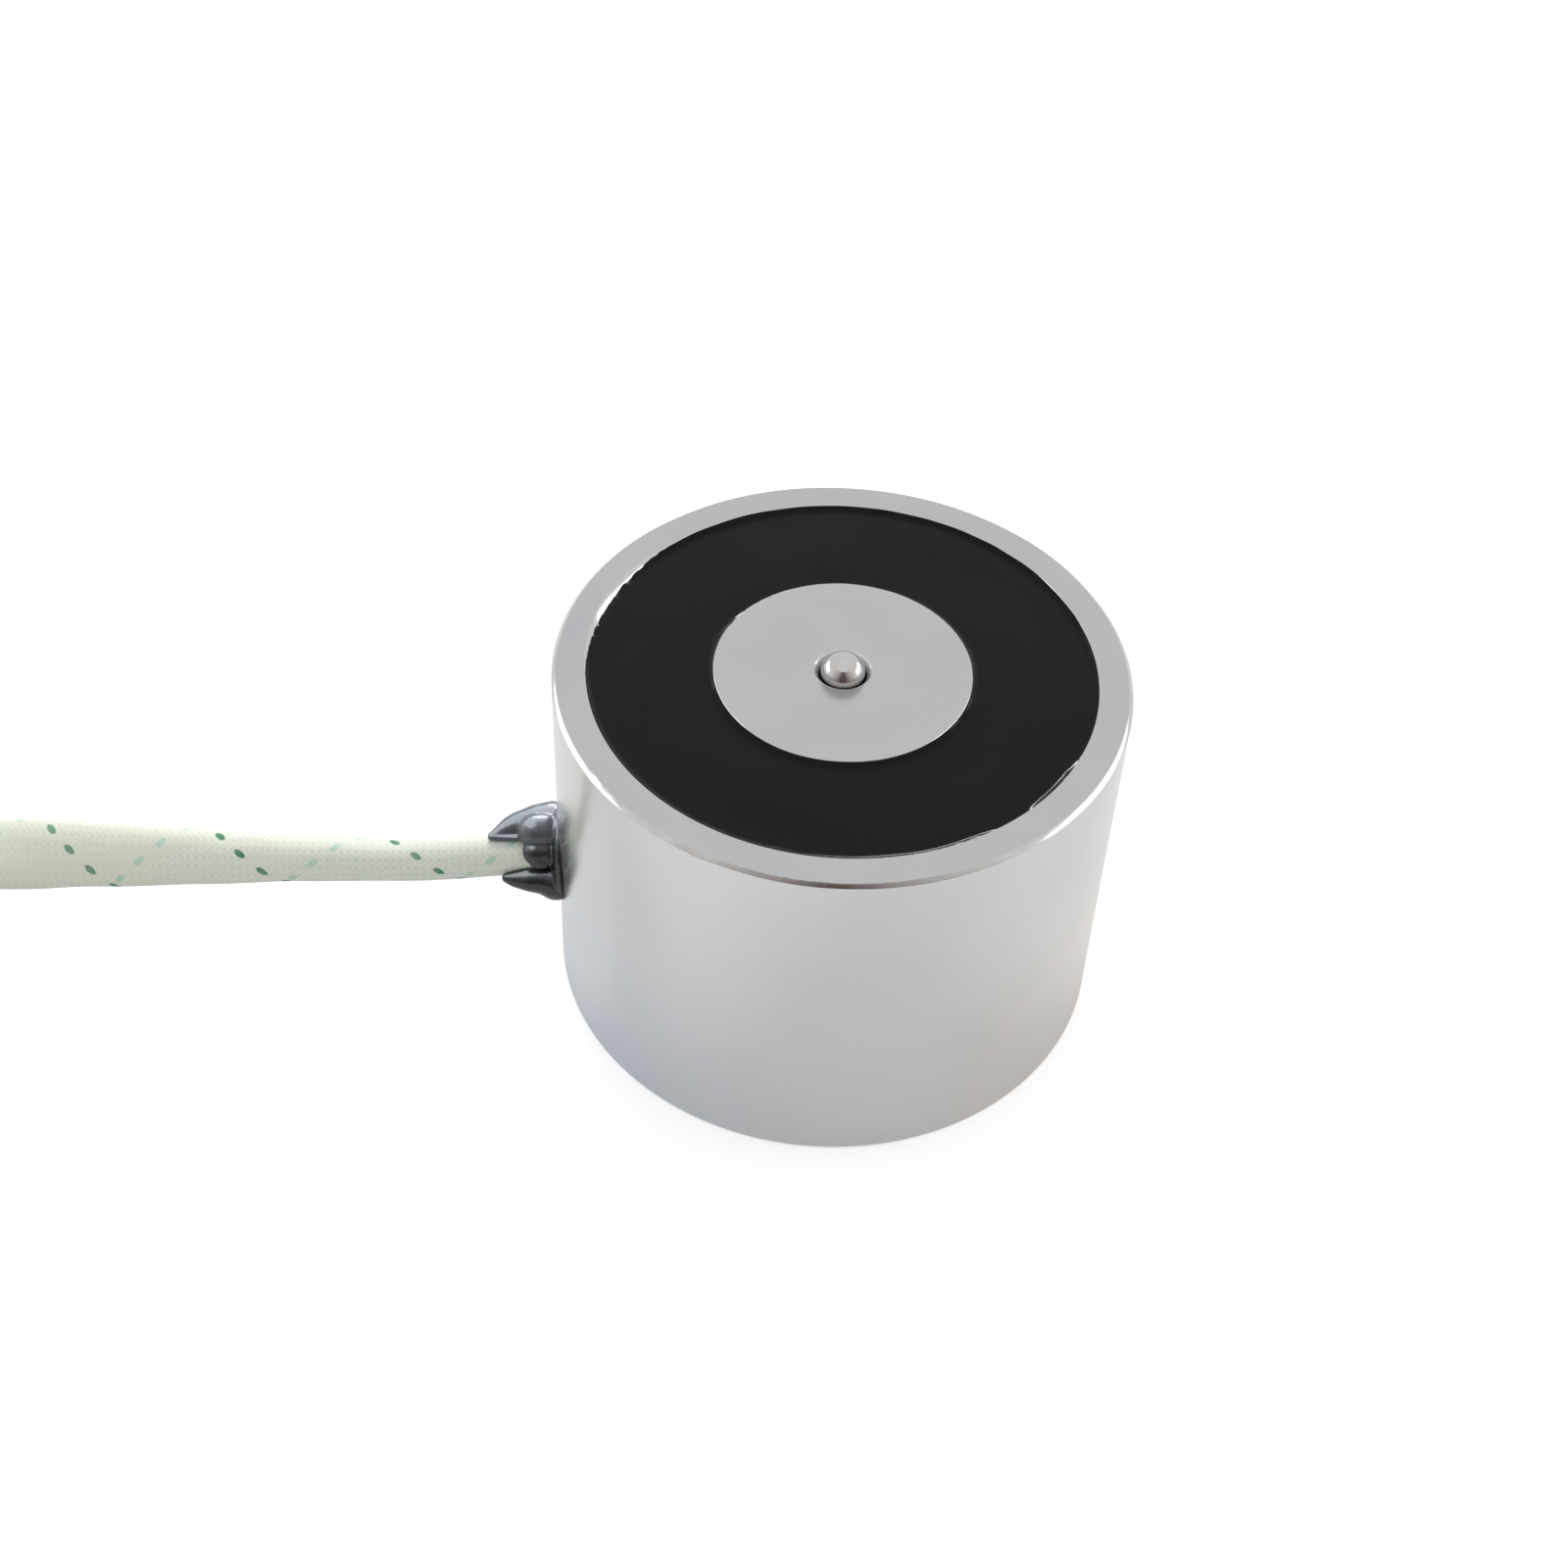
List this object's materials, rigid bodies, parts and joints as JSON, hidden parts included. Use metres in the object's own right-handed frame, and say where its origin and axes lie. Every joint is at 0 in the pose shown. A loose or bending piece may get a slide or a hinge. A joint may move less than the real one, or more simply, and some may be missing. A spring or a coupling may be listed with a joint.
{
  "type": "round holding electromagnet gripper",
  "caption": "Round steel pot electromagnet with a black potted holding face, a sprung ejector pin in its pole, a tapped back and a braided sleeved lead.",
  "frame": {"origin": "centre of the flat back face, on the pole's axis", "axes": "+Z along the pole's axis out of the holding face; the lead leaves through the side wall towards -X"},
  "size_m": [0.1683, 0.0693, 0.0365],
  "materials": {
    "plated_steel": "satin",
    "polished_steel": "polished",
    "spring_steel": "satin",
    "black_steel": "satin",
    "potting_resin": "gloss",
    "sealant": "gloss",
    "nylon": "matte",
    "copper": "gloss",
    "insulating_tape": "satin",
    "tinned_copper": "satin",
    "red_insulation": "satin",
    "black_insulation": "satin",
    "braided_sleeve": "satin",
    "white_plastic": "satin"
  },
  "bodies": {
    "magnet_body": {"magnet_pot": "plated_steel", "coil_bobbin": "nylon", "coil_winding": "copper", "coil_wrap": "insulating_tape", "potting": "potting_resin", "ejector_spring": "spring_steel", "spring_screw": "black_steel", "start_wire": "copper", "finish_wire": "copper", "solder_joint_a": "tinned_copper", "solder_joint_b": "tinned_copper", "splice_tube_a": "black_insulation", "splice_tube_b": "black_insulation", "lead_a": "red_insulation", "lead_b": "black_insulation", "cable_seal": "sealant", "lead_sleeve": "braided_sleeve", "lead_sleeve_coil": "braided_sleeve", "sleeve_tie": "white_plastic", "lead_a_tail": "red_insulation", "lead_b_tail": "black_insulation", "lead_a_tip": "tinned_copper", "lead_b_tip": "tinned_copper"},
    "ejector": {"ejector_pin": "polished_steel"}
  },
  "joints": [
    {"name": "ejector_press", "type": "slide", "parent": "magnet_body", "child": "ejector", "axis": [0, 0, -1], "range_m": [0, 0.0015], "stiffness_N_per_m": 1500, "springref_m": -0.002, "deforming": ["ejector_spring"]}
  ]
}
